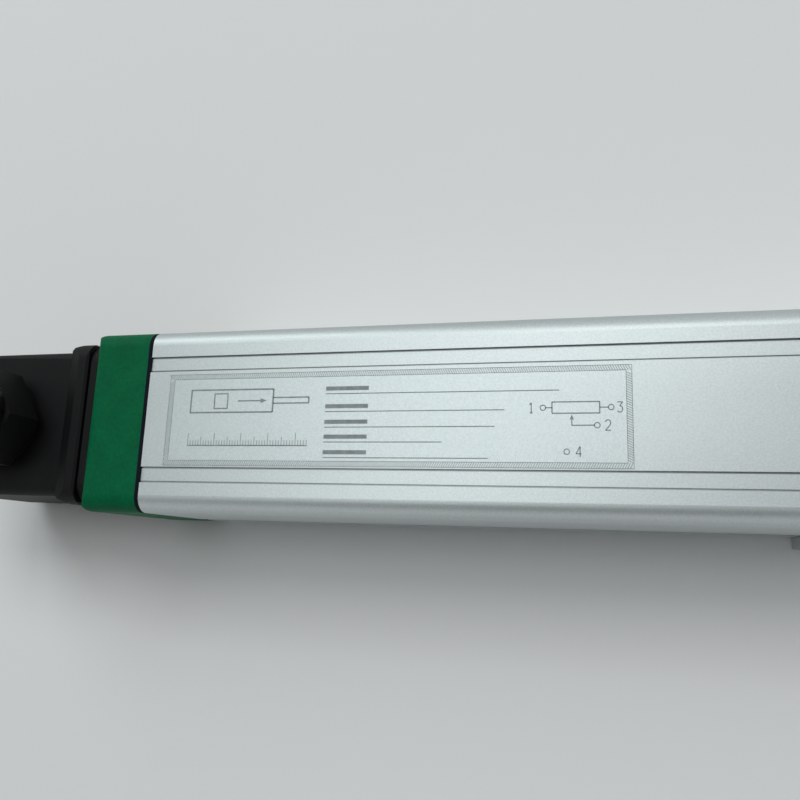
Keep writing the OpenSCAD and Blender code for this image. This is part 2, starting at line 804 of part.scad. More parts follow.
module plug_housing() {
    room_l = plug_l - plug_end_t;
    pry_w = 5;
    color([0.08, 0.08, 0.09]) difference() {
        union() {
            plug_body(plug_w, plug_corner_r, plug_l);
            plug_body(rim_w, rim_corner_r, rim_l + rim_slope_l);
            bar_z(neck_r, plug_room_w / 2 + 1, shoulder_h);
            bar_z(gland_thread_r, shoulder_h - eps, shoulder_h + gland_thread_l);
        }
        difference() {
            along_x(mate_x - room_l, room_l + eps) square(plug_room_w, center = true);
            bar_x(mate_x - room_l - eps, pillar_r, room_l - insert_l);
        }
        bar_z(gland_bore_r, 6, shoulder_h + gland_thread_l + eps);
        bar_x(plug_end_x - eps, plug_screw_r + screw_clear, plug_l);
        bar_x(plug_end_x - eps, plug_recess_r, plug_recess_d + eps);
        for (s = [-1, 1])
            translate([mate_x - 1.2, s * rim_w / 2 - 1, axis_z - pry_w / 2])
                cube([1.2 + eps, 2, pry_w]);
    }
}

module plug_insert() {
    color([0.2, 0.2, 0.2]) difference() {
        along_x(insert_back_x, insert_front_x - insert_back_x) difference() {
            square(insert_w, center = true);
            at_contacts() square([contact_t, contact_w], center = true);
            circle(plug_screw_r + screw_clear);
        }
        bar_x(insert_front_x - post_l - 1, post_r + insert_fit, post_l + 1 + eps);
    }
}

module plug_contacts() {
    sleeve_l = insert_front_x - insert_back_x - 0.5;
    color("gold") difference() {
        along_x(insert_back_x - terminal_l, terminal_l + sleeve_l) at_contacts() {
            translate([-contact_t / 2, -terminal_w / 2]) square([contact_t, terminal_w]);
        }
        along_x(insert_back_x + 0.5, sleeve_l) at_contacts()
            square([blade_t + 2 * blade_gap, terminal_w + eps], center = true);
        along_x(insert_back_x - terminal_l - eps, terminal_l + eps) at_contacts() circle(terminal_screw_r);
    }
}

module terminal_screws() {
    color("gray") along_x(insert_back_x - terminal_l - terminal_head_l, terminal_head_l)
        at_contacts() difference() {
            circle(terminal_head_r);
            square([0.5, 2 * terminal_head_r + eps], center = true);
        }
    color("gray") along_x(insert_back_x - terminal_l, terminal_l)
        at_contacts() circle(terminal_screw_r);
}

module plug_screw() {
    head_x = plug_end_x;
    reach = plug_l + plug_gasket_t + 2;
    color("silver") difference() {
        union() {
            bar_x(head_x, plug_head_r, plug_head_h);
            bar_x(head_x + plug_head_h - eps, plug_screw_r, reach - plug_head_h);
        }
        translate([head_x - eps, -plug_head_r, axis_z - 0.4]) cube([1, 2 * plug_head_r, 0.8]);
    }
}

module plug_screw_seal() {
    color("black") difference() {
        bar_x(plug_end_x + plug_head_h, plug_recess_r, plug_seal_t);
        bar_x(plug_end_x + plug_head_h - eps, plug_screw_r, plug_seal_t + 2 * eps);
    }
}

// Cable gland

module gland_seal() {
    color("dimgray") difference() {
        bar_z(gland_bore_r, seal_low_h, washer_h);
        bar_z(cable_r, seal_low_h - eps, washer_h + eps);
    }
}

module gland_washer() {
    color("lightgray") difference() {
        bar_z(gland_thread_r, washer_h, washer_h + washer_t);
        bar_z(cable_r + 0.8, washer_h - eps, washer_h + washer_t + eps);
    }
}

module gland_nut() {
    dome_h = gland_nut_h - gland_hex_h;
    color([0.08, 0.08, 0.09]) difference() {
        union() {
            translate([gland_x, 0, axis_z + nut_low_h])
                cylinder(r = gland_af / 2 / cos(30), h = gland_hex_h, $fn = 6);
            bar_z(gland_af / 2, nut_low_h + gland_hex_h - eps, nut_top_h - dome_h / 2);
            translate([gland_x, 0, axis_z + nut_top_h - dome_h / 2])
                cylinder(r1 = gland_af / 2, r2 = gland_af / 2 - dome_h / 2, h = dome_h / 2);
        }
        bar_z(gland_thread_r, nut_low_h - eps, washer_h + washer_t);
        bar_z(cable_r + 1.1, nut_low_h, nut_top_h + eps);
    }
}

// Clamps

// Plan of a clamp's foot: a base along the case, tapered to the round end about its hole.
module clamp_plan() {
    hole_y = clamp_pitch / 2;
    near_y = case_w / 2 + hook_fit;
    dy = hole_y - near_y;
    reach = norm([clamp_l / 2, dy]);
    tilt = atan2(dy, clamp_l / 2) + asin(clamp_end_r / reach);
    tx = clamp_end_r * sin(tilt);
    ty = clamp_end_r * cos(tilt);
    polygon([[-clamp_l / 2, near_y], [clamp_l / 2, near_y], [tx, hole_y + ty], [-tx, hole_y + ty]]);
    translate([0, hole_y]) circle(clamp_end_r);
}

// One clamp, with its middle at x = 0, on the side of +Y.
module clamp() {
    near_y = case_w / 2 + hook_fit;
    head_h = room_h - 2 * hook_fit;
    neck_h = mouth_h - 2 * hook_fit;
    color("silver") difference() {
        union() {
            translate([0, 0, clamp_lift]) linear_extrude(clamp_t) intersection() {
                clamp_plan();
                translate([-clamp_l / 2, near_y]) square([clamp_l, clamp_pitch]);
            }
            translate([-clamp_l / 2, near_y, clamp_lift])
                cube([clamp_l, clamp_wall_t, groove_z + head_h / 2 - clamp_lift]);
            translate([-clamp_l / 2, near_y - mouth_d - 2 * hook_fit - eps, groove_z - neck_h / 2])
                cube([clamp_l, mouth_d + 2 * hook_fit + 2 * eps, neck_h]);
            translate([-clamp_l / 2, near_y - mouth_d - room_d, groove_z - head_h / 2])
                cube([clamp_l, room_d - 2 * hook_fit, head_h]);
        }
        translate([0, clamp_pitch / 2, 0]) cylinder(r = clamp_hole_r, h = case_w);
    }
}

// Puts a clamp at one end (-1 rear, 1 front) and on one side (1 for +Y, -1 for -Y).
module clamp_at(end, side) {
    translate([end * (profile_l / 2 - clamp_inset - clamp_l / 2), 0, 0])
        mirror([0, side < 0 ? 1 : 0, 0]) clamp();
}

module rear_left_clamp() clamp_at(-1, 1);

module rear_right_clamp() clamp_at(-1, -1);

module front_left_clamp() clamp_at(1, 1);

module front_right_clamp() clamp_at(1, -1);

case_profile();
rear_gasket();
rear_cap();
rear_cap_screws();
front_gasket();
front_cap();
front_cap_screws();
rod_bushing();
rod_scraper();
scraper_retainer();
element_board();
resistance_track();
conductor_tracks();
board_terminals();
lead_wires();
carriage();
ball_retainer();
wiper_carrier();
wiper_contacts();
rod();
rod_ball();
rod_lock_nut();
base_gasket();
connector_base();
connector_blades();
base_screws();
plug_gasket();
plug_housing();
plug_insert();
plug_contacts();
terminal_screws();
plug_screw();
plug_screw_seal();
gland_seal();
gland_washer();
gland_nut();
rear_left_clamp();
rear_right_clamp();
front_left_clamp();
front_right_clamp();
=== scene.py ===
import json
import math
import bmesh
import bpy
from mathutils import Matrix, Vector


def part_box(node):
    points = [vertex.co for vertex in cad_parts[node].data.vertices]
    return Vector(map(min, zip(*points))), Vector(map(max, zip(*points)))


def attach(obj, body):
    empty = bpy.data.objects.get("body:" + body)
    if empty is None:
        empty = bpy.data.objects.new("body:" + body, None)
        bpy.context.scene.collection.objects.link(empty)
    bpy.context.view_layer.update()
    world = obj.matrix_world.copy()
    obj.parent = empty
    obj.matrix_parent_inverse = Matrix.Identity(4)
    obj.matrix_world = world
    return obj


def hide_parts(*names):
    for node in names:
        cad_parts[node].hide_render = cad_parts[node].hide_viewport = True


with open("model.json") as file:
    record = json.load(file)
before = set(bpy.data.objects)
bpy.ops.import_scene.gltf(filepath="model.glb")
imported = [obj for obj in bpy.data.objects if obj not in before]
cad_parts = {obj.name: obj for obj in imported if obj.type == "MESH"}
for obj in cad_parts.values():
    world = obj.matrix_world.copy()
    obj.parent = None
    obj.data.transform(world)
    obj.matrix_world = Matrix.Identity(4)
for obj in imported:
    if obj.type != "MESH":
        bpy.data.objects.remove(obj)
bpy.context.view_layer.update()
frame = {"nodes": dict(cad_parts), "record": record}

MM = 0.001
nodes = frame["nodes"]


# Camera

# The photograph's view, fitted to the case's edges. Places are in millimetres from the middle of the
# case's connector end on its top face, with Z up.
PHOTO_EYE = Vector((77.01, -22.10, 118.78))
PHOTO_RIGHT = Vector((0.96993592, 0.03615818, -0.2406593))
PHOTO_UP = Vector((0.01351094, 0.97937455, 0.20160093))
PHOTO_LENS = 34.30
SENSOR_WIDTH = 36.0
CLIP_START = 0.005
CLIP_END = 20.0

case_low, case_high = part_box("case_profile")
photo_origin = Vector((case_low.x, 0.0, case_high.z))


def make_camera():
    data = bpy.data.cameras.new("photo_camera")
    data.sensor_width = SENSOR_WIDTH
    data.lens = PHOTO_LENS
    data.clip_start = CLIP_START
    data.clip_end = CLIP_END
    camera = bpy.data.objects.new("photo_camera", data)
    back = PHOTO_RIGHT.cross(PHOTO_UP)
    turn = Matrix((PHOTO_RIGHT, PHOTO_UP, back)).transposed().to_4x4()
    camera.matrix_world = Matrix.Translation(photo_origin + PHOTO_EYE * MM) @ turn
    bpy.context.scene.collection.objects.link(camera)
    bpy.context.scene.camera = camera


make_camera()


# Materials


def new_material(name, color, roughness, metallic=0.0, specular=0.5, coat=0.0, coat_roughness=0.1):
    """A node material; returns it with its tree and its shader."""
    material = bpy.data.materials.new(name)
    material.use_nodes = True
    tree = material.node_tree
    shader = tree.nodes["Principled BSDF"]
    shader.inputs["Base Color"].default_value = (*color, 1.0)
    shader.inputs["Roughness"].default_value = roughness
    shader.inputs["Metallic"].default_value = metallic
    shader.inputs["Specular IOR Level"].default_value = specular
    shader.inputs["Coat Weight"].default_value = coat
    shader.inputs["Coat Roughness"].default_value = coat_roughness
    return material, tree, shader


def noise(tree, scale, detail=3.0, stretch=(1.0, 1.0, 1.0), distortion=0.0):
    """Noise in object space; scale is in cycles a metre, and stretch divides it along each axis."""
    place = tree.nodes.new("ShaderNodeTexCoord")
    mapping = tree.nodes.new("ShaderNodeMapping")
    mapping.inputs["Scale"].default_value = tuple(1.0 / s for s in stretch)
    texture = tree.nodes.new("ShaderNodeTexNoise")
    texture.inputs["Scale"].default_value = scale
    texture.inputs["Detail"].default_value = detail
    texture.inputs["Distortion"].default_value = distortion
    tree.links.new(place.outputs["Object"], mapping.inputs["Vector"])
    tree.links.new(mapping.outputs["Vector"], texture.inputs["Vector"])
    return texture.outputs["Fac"]


def ramp_colors(tree, value, shader, dark, light, low=0.35, high=0.65):
    """Colours the base between dark and light by a noise value."""
    ramp = tree.nodes.new("ShaderNodeValToRGB")
    ramp.color_ramp.elements[0].position = low
    ramp.color_ramp.elements[1].position = high
    ramp.color_ramp.elements[0].color = (*dark, 1.0)
    ramp.color_ramp.elements[1].color = (*light, 1.0)
    tree.links.new(value, ramp.inputs["Fac"])
    tree.links.new(ramp.outputs["Color"], shader.inputs["Base Color"])


def vary_roughness(tree, value, shader, low, high):
    spread = tree.nodes.new("ShaderNodeMapRange")
    spread.inputs["To Min"].default_value = low
    spread.inputs["To Max"].default_value = high
    tree.links.new(value, spread.inputs["Value"])
    tree.links.new(spread.outputs["Result"], shader.inputs["Roughness"])


def add_bump(tree, shader, value, depth, strength=1.0):
    """Bump of the given depth in metres; a second call goes on top of the first."""
    bump = tree.nodes.new("ShaderNodeBump")
    bump.inputs["Strength"].default_value = strength
    bump.inputs["Distance"].default_value = depth
    tree.links.new(value, bump.inputs["Height"])
    if shader.inputs["Normal"].is_linked:
        tree.links.new(shader.inputs["Normal"].links[0].from_socket, bump.inputs["Normal"])
    tree.links.new(bump.outputs["Normal"], shader.inputs["Normal"])


def scaled(color, factor):
    return tuple(channel * factor for channel in color)


def speckle(tree, color_output, value, low, high, shader):
    """Darkens or lightens a colour by a fine grain, between the factors low and high."""
    spread = tree.nodes.new("ShaderNodeMapRange")
    spread.inputs["From Min"].default_value = 0.3
    spread.inputs["From Max"].default_value = 0.7
    spread.inputs["To Min"].default_value = low
    spread.inputs["To Max"].default_value = high
    tree.links.new(value, spread.inputs["Value"])
    mix = tree.nodes.new("ShaderNodeVectorMath")
    mix.operation = "SCALE"
    tree.links.new(color_output, mix.inputs["Vector"])
    tree.links.new(spread.outputs["Result"], mix.inputs["Scale"])
    tree.links.new(mix.outputs["Vector"], shader.inputs["Base Color"])


def base_source(shader):
    return shader.inputs["Base Color"].links[0].from_socket


def anodised(name, color, roughness, metallic=0.8):
    """Etched and anodised aluminium: matt, with faint draw lines along the profile and a fine grain."""
    material, tree, shader = new_material(name, color, roughness, metallic=metallic, specular=0.3)
    cloud = noise(tree, 60.0, stretch=(4.0, 1.0, 1.0))
    ramp_colors(tree, cloud, shader, scaled(color, 0.975), scaled(color, 1.02))
    grain = noise(tree, 3400.0, detail=2.5)
    speckle(tree, base_source(shader), grain, 0.93, 1.06, shader)
    draw_lines = noise(tree, 2600.0, detail=2.0, stretch=(220.0, 1.0, 1.0))
    vary_roughness(tree, cloud, shader, roughness - 0.02, roughness + 0.03)
    add_bump(tree, shader, draw_lines, 0.000006, 0.35)
    add_bump(tree, shader, grain, 0.000016, 0.5)
    return material


def enamel(name, color):
    """Green coating with a soft orange-peel skin and a slight change of tone."""
    material, tree, shader = new_material(name, color, 0.5, specular=0.08)
    cloud = noise(tree, 260.0, detail=4.0)
    ramp_colors(tree, cloud, shader, scaled(color, 0.93), scaled(color, 1.08))
    speckle(tree, base_source(shader), noise(tree, 2200.0, detail=2.0), 0.88, 1.14, shader)
    vary_roughness(tree, cloud, shader, 0.46, 0.58)
    add_bump(tree, shader, noise(tree, 1500.0, detail=2.0), 0.00003, 0.35)
    return material


def moulded(name, color, roughness=0.48, grain=0.00003, specular=0.3):
    """Moulded plastic with the fine grain of a sparked tool."""
    material, tree, shader = new_material(name, color, roughness, specular=specular)
    cloud = noise(tree, 90.0, detail=3.0)
    ramp_colors(tree, cloud, shader, scaled(color, 0.85), scaled(color, 1.15))
    vary_roughness(tree, cloud, shader, roughness - 0.05, roughness + 0.06)
    add_bump(tree, shader, noise(tree, 3200.0, detail=3.0), grain, 0.4)
    return material


def rubbery(name, color):
    material, tree, shader = new_material(name, color, 0.75, specular=0.12)
    cloud = noise(tree, 200.0, detail=3.0)
    ramp_colors(tree, cloud, shader, scaled(color, 0.8), scaled(color, 1.25))
    add_bump(tree, shader, noise(tree, 2500.0, detail=2.0), 0.00004, 0.5)
    return material


def turned(name, color, roughness):
    """Turned or ground metal: fine rings round the rod's axis, seen as stretched noise."""
    material, tree, shader = new_material(name, color, roughness, metallic=1.0)
    rings = noise(tree, 4500.0, detail=2.0, stretch=(1.0, 40.0, 40.0))
    cloud = noise(tree, 120.0, detail=3.0)
    ramp_colors(tree, cloud, shader, scaled(color, 0.92), scaled(color, 1.04))
    vary_roughness(tree, rings, shader, roughness * 0.8, roughness * 1.25)
    add_bump(tree, shader, rings, 0.000008, 0.4)
    return material


def plated(name, color, roughness):
    """Plated or pressed metal with a light all-over mottle."""
    material, tree, shader = new_material(name, color, roughness, metallic=1.0)
    cloud = noise(tree, 420.0, detail=4.0)
    ramp_colors(tree, cloud, shader, scaled(color, 0.85), scaled(color, 1.08))
    vary_roughness(tree, cloud, shader, roughness * 0.8, roughness * 1.3)
    add_bump(tree, shader, noise(tree, 2600.0, detail=2.0), 0.000012, 0.4)
    return material


def laminate(name, color):
    """Glass-fibre board: a fine square weave under a clear resin."""
    material, tree, shader = new_material(name, color, 0.4, coat=0.3)
    weave = tree.nodes.new("ShaderNodeTexWave")
    weave.inputs["Scale"].default_value = 500.0
    weave.inputs["Distortion"].default_value = 1.5
    place = tree.nodes.new("ShaderNodeTexCoord")
    tree.links.new(place.outputs["Object"], weave.inputs["Vector"])
    ramp_colors(tree, weave.outputs["Fac"], shader, scaled(color, 0.8), scaled(color, 1.15), 0.2, 0.8)
    return material


# Distance of the fine line grooves from the middle of the top face, and the width, fade and strength of
# the shade painted along them.
GROOVE_LINES = (8.675, 11.15)
GROOVE_SHADE_HALF = 0.13
GROOVE_SHADE_FADE = 0.09
GROOVE_SHADE_STRENGTH = 0.64


def paint_groove_shade(material):
    """Painted shade along the fine line grooves of the case's top face, placed by object coordinates: it
    darkens the colour where the groove walls would be shaded.
    """
    tree = material.node_tree
    shader = tree.nodes["Principled BSDF"]
    place = tree.nodes.new("ShaderNodeTexCoord")
    split = tree.nodes.new("ShaderNodeSeparateXYZ")
    tree.links.new(place.outputs["Object"], split.inputs["Vector"])
    side = tree.nodes.new("ShaderNodeMath")
    side.operation = "ABSOLUTE"
    tree.links.new(split.outputs["Y"], side.inputs[0])
    high = tree.nodes.new("ShaderNodeMath")
    high.operation = "GREATER_THAN"
    high.inputs[1].default_value = case_high.z - 1.0 * MM
    tree.links.new(split.outputs["Z"], high.inputs[0])
    color = base_source(shader)
    for line in GROOVE_LINES:
        off = tree.nodes.new("ShaderNodeMath")
        off.operation = "SUBTRACT"
        off.inputs[1].default_value = line * MM
        tree.links.new(side.outputs[0], off.inputs[0])
        gap = tree.nodes.new("ShaderNodeMath")
        gap.operation = "ABSOLUTE"
        tree.links.new(off.outputs[0], gap.inputs[0])
        tone = tree.nodes.new("ShaderNodeMapRange")
        tone.inputs["From Min"].default_value = GROOVE_SHADE_HALF * MM
        tone.inputs["From Max"].default_value = (GROOVE_SHADE_HALF + GROOVE_SHADE_FADE) * MM
        tone.inputs["To Min"].default_value = 1.0 - GROOVE_SHADE_STRENGTH
        tone.inputs["To Max"].default_value = 0.0
        tree.links.new(gap.outputs[0], tone.inputs["Value"])
        here = tree.nodes.new("ShaderNodeMath")
        here.operation = "MULTIPLY"
        tree.links.new(tone.outputs["Result"], here.inputs[0])
        tree.links.new(high.outputs[0], here.inputs[1])
        keep = tree.nodes.new("ShaderNodeMath")
        keep.operation = "SUBTRACT"
        keep.inputs[0].default_value = 1.0
        tree.links.new(here.outputs[0], keep.inputs[1])
        mix = tree.nodes.new("ShaderNodeVectorMath")
        mix.operation = "SCALE"
        tree.links.new(color, mix.inputs["Vector"])
        tree.links.new(keep.outputs[0], mix.inputs["Scale"])
        color = mix.outputs["Vector"]
    tree.links.new(color, shader.inputs["Base Color"])


MATERIALS = {
    "anodised_aluminium": anodised("case_anodising", (0.525, 0.568, 0.572), 0.46),
    "clamp_aluminium": anodised("clamp_anodising", (0.50, 0.53, 0.54), 0.42),
    "green_enamel": enamel("cap_green", (0.0003, 0.118, 0.045)),
    "black_rubber": rubbery("gasket_rubber", (0.0035, 0.0045, 0.0105)),
    "dark_steel": plated("black_oxide_steel", (0.07, 0.07, 0.075), 0.45),
    "bright_steel": plated("zinc_plated_steel", (0.62, 0.63, 0.64), 0.32),
    "stainless_rod": turned("ground_stainless", (0.66, 0.66, 0.67), 0.2),
    "bronze": turned("sintered_bronze", (0.55, 0.35, 0.15), 0.38),
    "board_laminate": laminate("board_laminate", (0.30, 0.22, 0.08)),
    "track_carbon": moulded("conductive_film", (0.012, 0.012, 0.013), 0.3, 0.00001),
    "contact_metal": plated("plated_contacts", (0.78, 0.62, 0.3), 0.28),
    "wire_insulation": moulded("wire_sleeve", (0.42, 0.03, 0.025), 0.4, 0.00001),
    "black_plastic": moulded("plug_black", (0.0035, 0.0038, 0.0042), 0.55, specular=0.16),
    "grey_plastic": moulded("insert_grey", (0.1, 0.1, 0.1)),
    "white_plastic": moulded("carriage_plastic", (0.72, 0.71, 0.66)),
}


# Painted shade along the groove lines of the case's top face.
paint_groove_shade(MATERIALS["anodised_aluminium"])


def dress_nodes():
    """Gives every CAD node the procedural material of its record slot."""
    for part in frame["record"]["subparts"]:
        mesh = nodes[part["node"]].data
        mesh.materials.clear()
        mesh.materials.append(MATERIALS[part["material_slot"]])


dress_nodes()


# Edges

# Width of the small rounding on each node's edges, in millimetres.
EDGE_ROUNDING = {
    "gland_nut": 0.35,
    "rear_left_clamp": 0.3,
    "rear_right_clamp": 0.3,
    "front_left_clamp": 0.3,
    "front_right_clamp": 0.3,
    "rod_lock_nut": 0.12,
    "connector_base": 0.15,
    "plug_screw": 0.15,
}
WELD_DISTANCE = 2e-6
SHARP_ANGLE = math.radians(32)


def round_edges(node, width):
    """Rounds the sharp edges of a CAD node with modifiers, without touching its mesh."""
    obj = nodes[node]
    weld = obj.modifiers.new("weld", "WELD")
    weld.merge_threshold = WELD_DISTANCE
    bevel = obj.modifiers.new("bevel", "BEVEL")
    bevel.width = width * MM
    bevel.segments = 2
    bevel.limit_method = "ANGLE"
    bevel.angle_limit = SHARP_ANGLE
    bevel.harden_normals = True


for rounded_node, rounding in EDGE_ROUNDING.items():
    round_edges(rounded_node, rounding)


# New pieces


def add_piece(name, mesh_data, body, material, smooth_angle=None):
    """Puts a mesh in the scene as a piece that rides on a body."""
    obj = bpy.data.objects.new(name, mesh_data)
    bpy.context.scene.collection.objects.link(obj)
    if not mesh_data.materials:
        mesh_data.materials.append(material)
    if smooth_angle is not None:
        mesh_data.shade_smooth()
        mesh_data.set_sharp_from_angle(angle=smooth_angle)
    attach(obj, body)
    return obj


def mesh_from(name, verts, faces):
    mesh_data = bpy.data.meshes.new(name)
    mesh_data.from_pydata(verts, [], faces)
    mesh_data.update()
    return mesh_data


# Rod with its thread

ROD_SIDES = 48
THREAD_PITCH = 1.0
THREAD_DEPTH = 0.6
THREAD_LENGTH = 20.0
UNDERCUT_LENGTH = 2.0
UNDERCUT_RADIUS = 2.4
ROD_RADIUS = 3.0
SPIGOT_RADIUS = 2.0
SPIGOT_LENGTH = 5.9
TIP_CHAMFER = 0.7
THREAD_FADE = 0.8
RINGS_A_PITCH = 10


def thread_radius(x, share, start, end):
    """Radius of the thread at x, in millimetres, for a share of one turn round the rod."""
    phase = (x / THREAD_PITCH - share) % 1.0
    flank = abs(phase - 0.5) * 2.0
    groove = min(1.0, max(0.0, (flank - 0.12) / 0.76))
    fade = min(1.0, (x - start) / THREAD_FADE)
    depth = THREAD_DEPTH * groove * fade
    chamfer = max(0.0, x - (end - TIP_CHAMFER))
    return min(ROD_RADIUS - depth, ROD_RADIUS - chamfer)


def build_rod():
    low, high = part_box("rod")
    axis_z = (low.z + high.z) / 2 / MM
    start, end = low.x / MM, high.x / MM
    thread_start = end - THREAD_LENGTH
    rings = [(start, 0.0), (start, SPIGOT_RADIUS), (start + SPIGOT_LENGTH, SPIGOT_RADIUS),
             (start + SPIGOT_LENGTH, ROD_RADIUS),
             (thread_start - UNDERCUT_LENGTH - 0.4, ROD_RADIUS),
             (thread_start - UNDERCUT_LENGTH, UNDERCUT_RADIUS), (thread_start - 0.3, UNDERCUT_RADIUS)]
    steps = int(THREAD_LENGTH / THREAD_PITCH * RINGS_A_PITCH)
    thread_xs = [thread_start + THREAD_LENGTH * i / steps for i in range(steps + 1)]
    verts, faces = [], []

    def add_ring(x, radius_at):
        for k in range(ROD_SIDES):
            share = k / ROD_SIDES
            radius = radius_at(share)
            angle = 2 * math.pi * share
            verts.append(Vector((x, radius * math.cos(angle), axis_z + radius * math.sin(angle))) * MM)

    for x, radius in rings:
        add_ring(x, lambda share, r=max(radius, 0.02): r)
    for x in thread_xs:
        add_ring(x, lambda share, at=x: thread_radius(at, share, thread_start, end))
    add_ring(end, lambda share: 0.02)
    count = len(verts) // ROD_SIDES
    for i in range(count - 1):
        for k in range(ROD_SIDES):
            a = i * ROD_SIDES + k
            b = i * ROD_SIDES + (k + 1) % ROD_SIDES
            faces.append((a, b, b + ROD_SIDES, a + ROD_SIDES))
    faces.append(tuple(range(ROD_SIDES - 1, -1, -1)))
    last = (count - 1) * ROD_SIDES
    faces.append(tuple(last + k for k in range(ROD_SIDES)))
    rod = add_piece("rod_with_thread", mesh_from("rod_with_thread", verts, faces), "rod",
                    MATERIALS["stainless_rod"], math.radians(50))
    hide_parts("rod")


build_rod()


# Label

LABEL_START = 4.2
LABEL_LENGTH = 79.05
LABEL_WIDTH = 16.3
LABEL_MIDDLE = -0.2
FOIL_THICKNESS = 0.05
INK_THICKNESS = 0.012
BAND_WIDTH = 0.85
BAND_INSET = 0.1
HATCH_PITCH = 0.38
HATCH_LINE = 0.1
RULE_LINE = 0.08
SYMBOL_X = 66.9
SYMBOL_Y = 1.4
INK_COLOR = (0.275, 0.315, 0.32)


def label_materials():
    foil = anodised("label_film", (0.525, 0.574, 0.578), 0.47)
    ink, ink_tree, ink_shader = new_material("label_ink", INK_COLOR, 0.6, specular=0.3)
    ramp_colors(ink_tree, noise(ink_tree, 900.0, detail=3.0), ink_shader,
                scaled(INK_COLOR, 0.9), scaled(INK_COLOR, 1.12))
    return foil, ink


def label_point(x, y, height):
    """A point of the label: x and y in millimetres from its left end and middle line."""
    return photo_origin + Vector((LABEL_START + x, LABEL_MIDDLE + y, height)) * MM


def plate(mesh, corners, low, high):
    """Adds a thin plate with the given outline to a bmesh."""
    bottom = [mesh.verts.new(label_point(x, y, low)) for x, y in corners]
    top = [mesh.verts.new(label_point(x, y, high)) for x, y in corners]
    mesh.faces.new(list(reversed(bottom)))
    mesh.faces.new(top)
    count = len(corners)
    for i in range(count):
        j = (i + 1) % count
        mesh.faces.new((bottom[i], bottom[j], top[j], top[i]))


def ink_line(mesh, start, end, width):
    """A printed line between two points of the label."""
    along = (Vector(end) - Vector(start)).normalized()
    across = Vector((-along.y, along.x)) * width / 2
    a, b = Vector(start), Vector(end)
    plate(mesh, [a - across, b - across, b + across, a + across],
          FOIL_THICKNESS, FOIL_THICKNESS + INK_THICKNESS)


def ink_path(mesh, points, width, closed=False):
    ends = list(zip(points, points[1:]))
    if closed:
        ends.append((points[-1], points[0]))
    for start, end in ends:
        ink_line(mesh, start, end, width)


def ink_ring(mesh, centre, radius, width, sides=24):
    ring = [(centre[0] + radius * math.cos(2 * math.pi * i / sides),
             centre[1] + radius * math.sin(2 * math.pi * i / sides)) for i in range(sides)]
    ink_path(mesh, ring, width, closed=True)


def ink_arrow(mesh, tail, tip, width, head):
    along = (Vector(tip) - Vector(tail)).normalized()
    across = Vector((-along.y, along.x))
    base = Vector(tip) - along * head
    ink_line(mesh, tail, base, width)
    plate(mesh, [base - across * head * 0.4, Vector(tip), base + across * head * 0.4],
          FOIL_THICKNESS, FOIL_THICKNESS + INK_THICKNESS)


# Strokes of the plain figures on the label, on a grid 2 wide and 4 high.
FIGURES = {
    "1": [[(0.4, 3.2), (1.0, 4.0), (1.0, 0.0)], [(0.4, 0.0), (1.6, 0.0)]],
    "2": [[(0.0, 3.2), (0.5, 4.0), (1.5, 4.0), (2.0, 3.2), (1.8, 2.2), (0.0, 0.0), (2.0, 0.0)]],
    "3": [[(0.0, 4.0), (2.0, 4.0), (0.9, 2.4), (1.7, 2.2), (2.0, 1.2), (1.5, 0.1), (0.6, 0.0),
           (0.0, 0.6)]],
    "4": [[(1.5, 0.0), (1.5, 4.0), (0.0, 1.2), (2.0, 1.2)]],
}


def ink_figure(mesh, figure, x, y, height):
    unit = height / 4
    for stroke in FIGURES[figure]:
        ink_path(mesh, [(x + px * unit, y + py * unit) for px, py in stroke], unit * 0.42)


def hatched_band(mesh):
    """The frame of fine slanting lines round the label, between two thin rules."""
    outer_x0, outer_x1 = BAND_INSET, LABEL_LENGTH - BAND_INSET
    outer_y = LABEL_WIDTH / 2 - BAND_INSET
    for inset in (0.0, BAND_WIDTH):
        ink_path(mesh, [(outer_x0 + inset, inset - outer_y), (outer_x1 - inset, inset - outer_y),
                        (outer_x1 - inset, outer_y - inset), (outer_x0 + inset, outer_y - inset)],
                 RULE_LINE, closed=True)
    lean = BAND_WIDTH * 0.5
    inner_x0, inner_x1 = outer_x0 + BAND_WIDTH, outer_x1 - BAND_WIDTH
    inner_y = outer_y - BAND_WIDTH
    for side in (-1, 1):
        count = int((outer_x1 - outer_x0 - lean) / HATCH_PITCH) + 1
        for i in range(count):
            x = outer_x0 + i * HATCH_PITCH
            ink_line(mesh, (x, side * outer_y), (x + lean, side * inner_y), HATCH_LINE)
    for outer_x, inner_x in ((outer_x0, inner_x0), (outer_x1, inner_x1)):
        count = int((2 * inner_y - lean) / HATCH_PITCH) + 1
        for i in range(count):
            y = -inner_y + i * HATCH_PITCH
            ink_line(mesh, (outer_x, y), (inner_x, y + lean), HATCH_LINE)


def sensor_pictogram(mesh):
    """A plain outline of a rod sensor over a ruled scale, in place of the label's largest print."""
    ink_path(mesh, [(4.5, 1.2), (20.0, 1.2), (20.0, 5.2), (4.5, 5.2)], 0.28, closed=True)
    ink_path(mesh, [(20.0, 2.7), (26.5, 2.7), (26.5, 3.7), (20.0, 3.7)], 0.24)
    ink_path(mesh, [(9.0, 1.9), (11.5, 1.9), (11.5, 4.5), (9.0, 4.5)], 0.22, closed=True)
    ink_arrow(mesh, (13.5, 3.2), (18.8, 3.2), 0.24, 1.1)
    ink_line(mesh, (4.5, -4.6), (26.5, -4.6), 0.2)
    for i in range(45):
        tall = 2.2 if i % 10 == 0 else 1.5 if i % 5 == 0 else 0.9
        x = 4.5 + i * 0.5
        ink_line(mesh, (x, -4.6), (x, -4.6 + tall), 0.12)


def blank_lines(mesh):
    """Five plain rows, in place of the label's five lines of print."""
    rows = ((4.9, 38.5), (1.85, 30.0), (-0.8, 28.5), (-3.3, 20.0), (-5.9, 27.5))
    for y, length in rows:
        ink_line(mesh, (29.5, y - 0.7), (29.5 + length, y - 0.7), 0.16)
        ink_line(mesh, (29.5, y + 0.2), (37.0, y + 0.2), 0.7)


